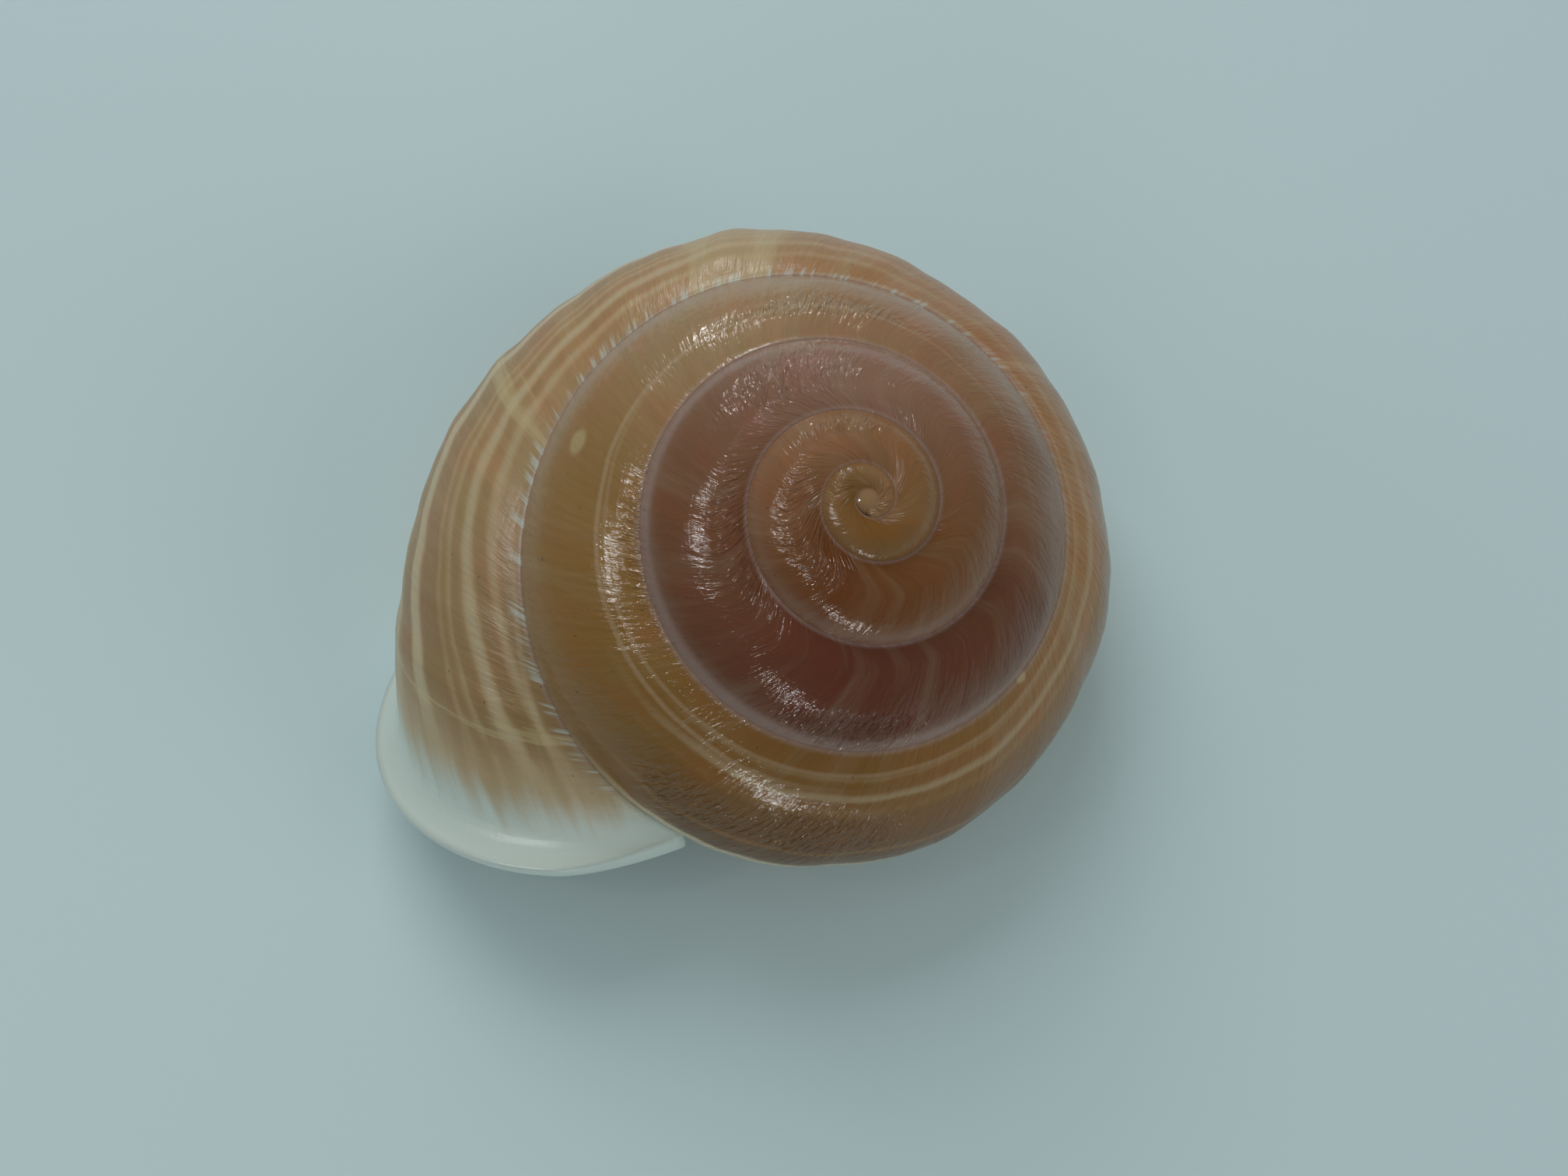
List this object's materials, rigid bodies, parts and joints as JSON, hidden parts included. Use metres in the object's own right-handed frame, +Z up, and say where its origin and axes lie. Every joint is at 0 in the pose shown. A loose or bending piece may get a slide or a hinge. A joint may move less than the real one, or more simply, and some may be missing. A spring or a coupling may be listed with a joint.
{
  "type": "land snail shell",
  "caption": "Left-coiled land snail shell with a low domed spire, banded brown and cream whorls, a turned-out white lip and an open mouth",
  "frame": {"origin": "centre of the bounding box at the level of the table the shell rests on", "axes": "+Z up with the apex on top, +X the longest horizontal extent with the lip on the -X side, -Y the side the viewer stands on"},
  "size_m": [0.046, 0.0412, 0.0268],
  "materials": {
    "shell": "glossy calcium carbonate shell, brown and cream spiral bands"
  },
  "bodies": {
    "root": {"shell": "shell"}
  },
  "joints": []
}
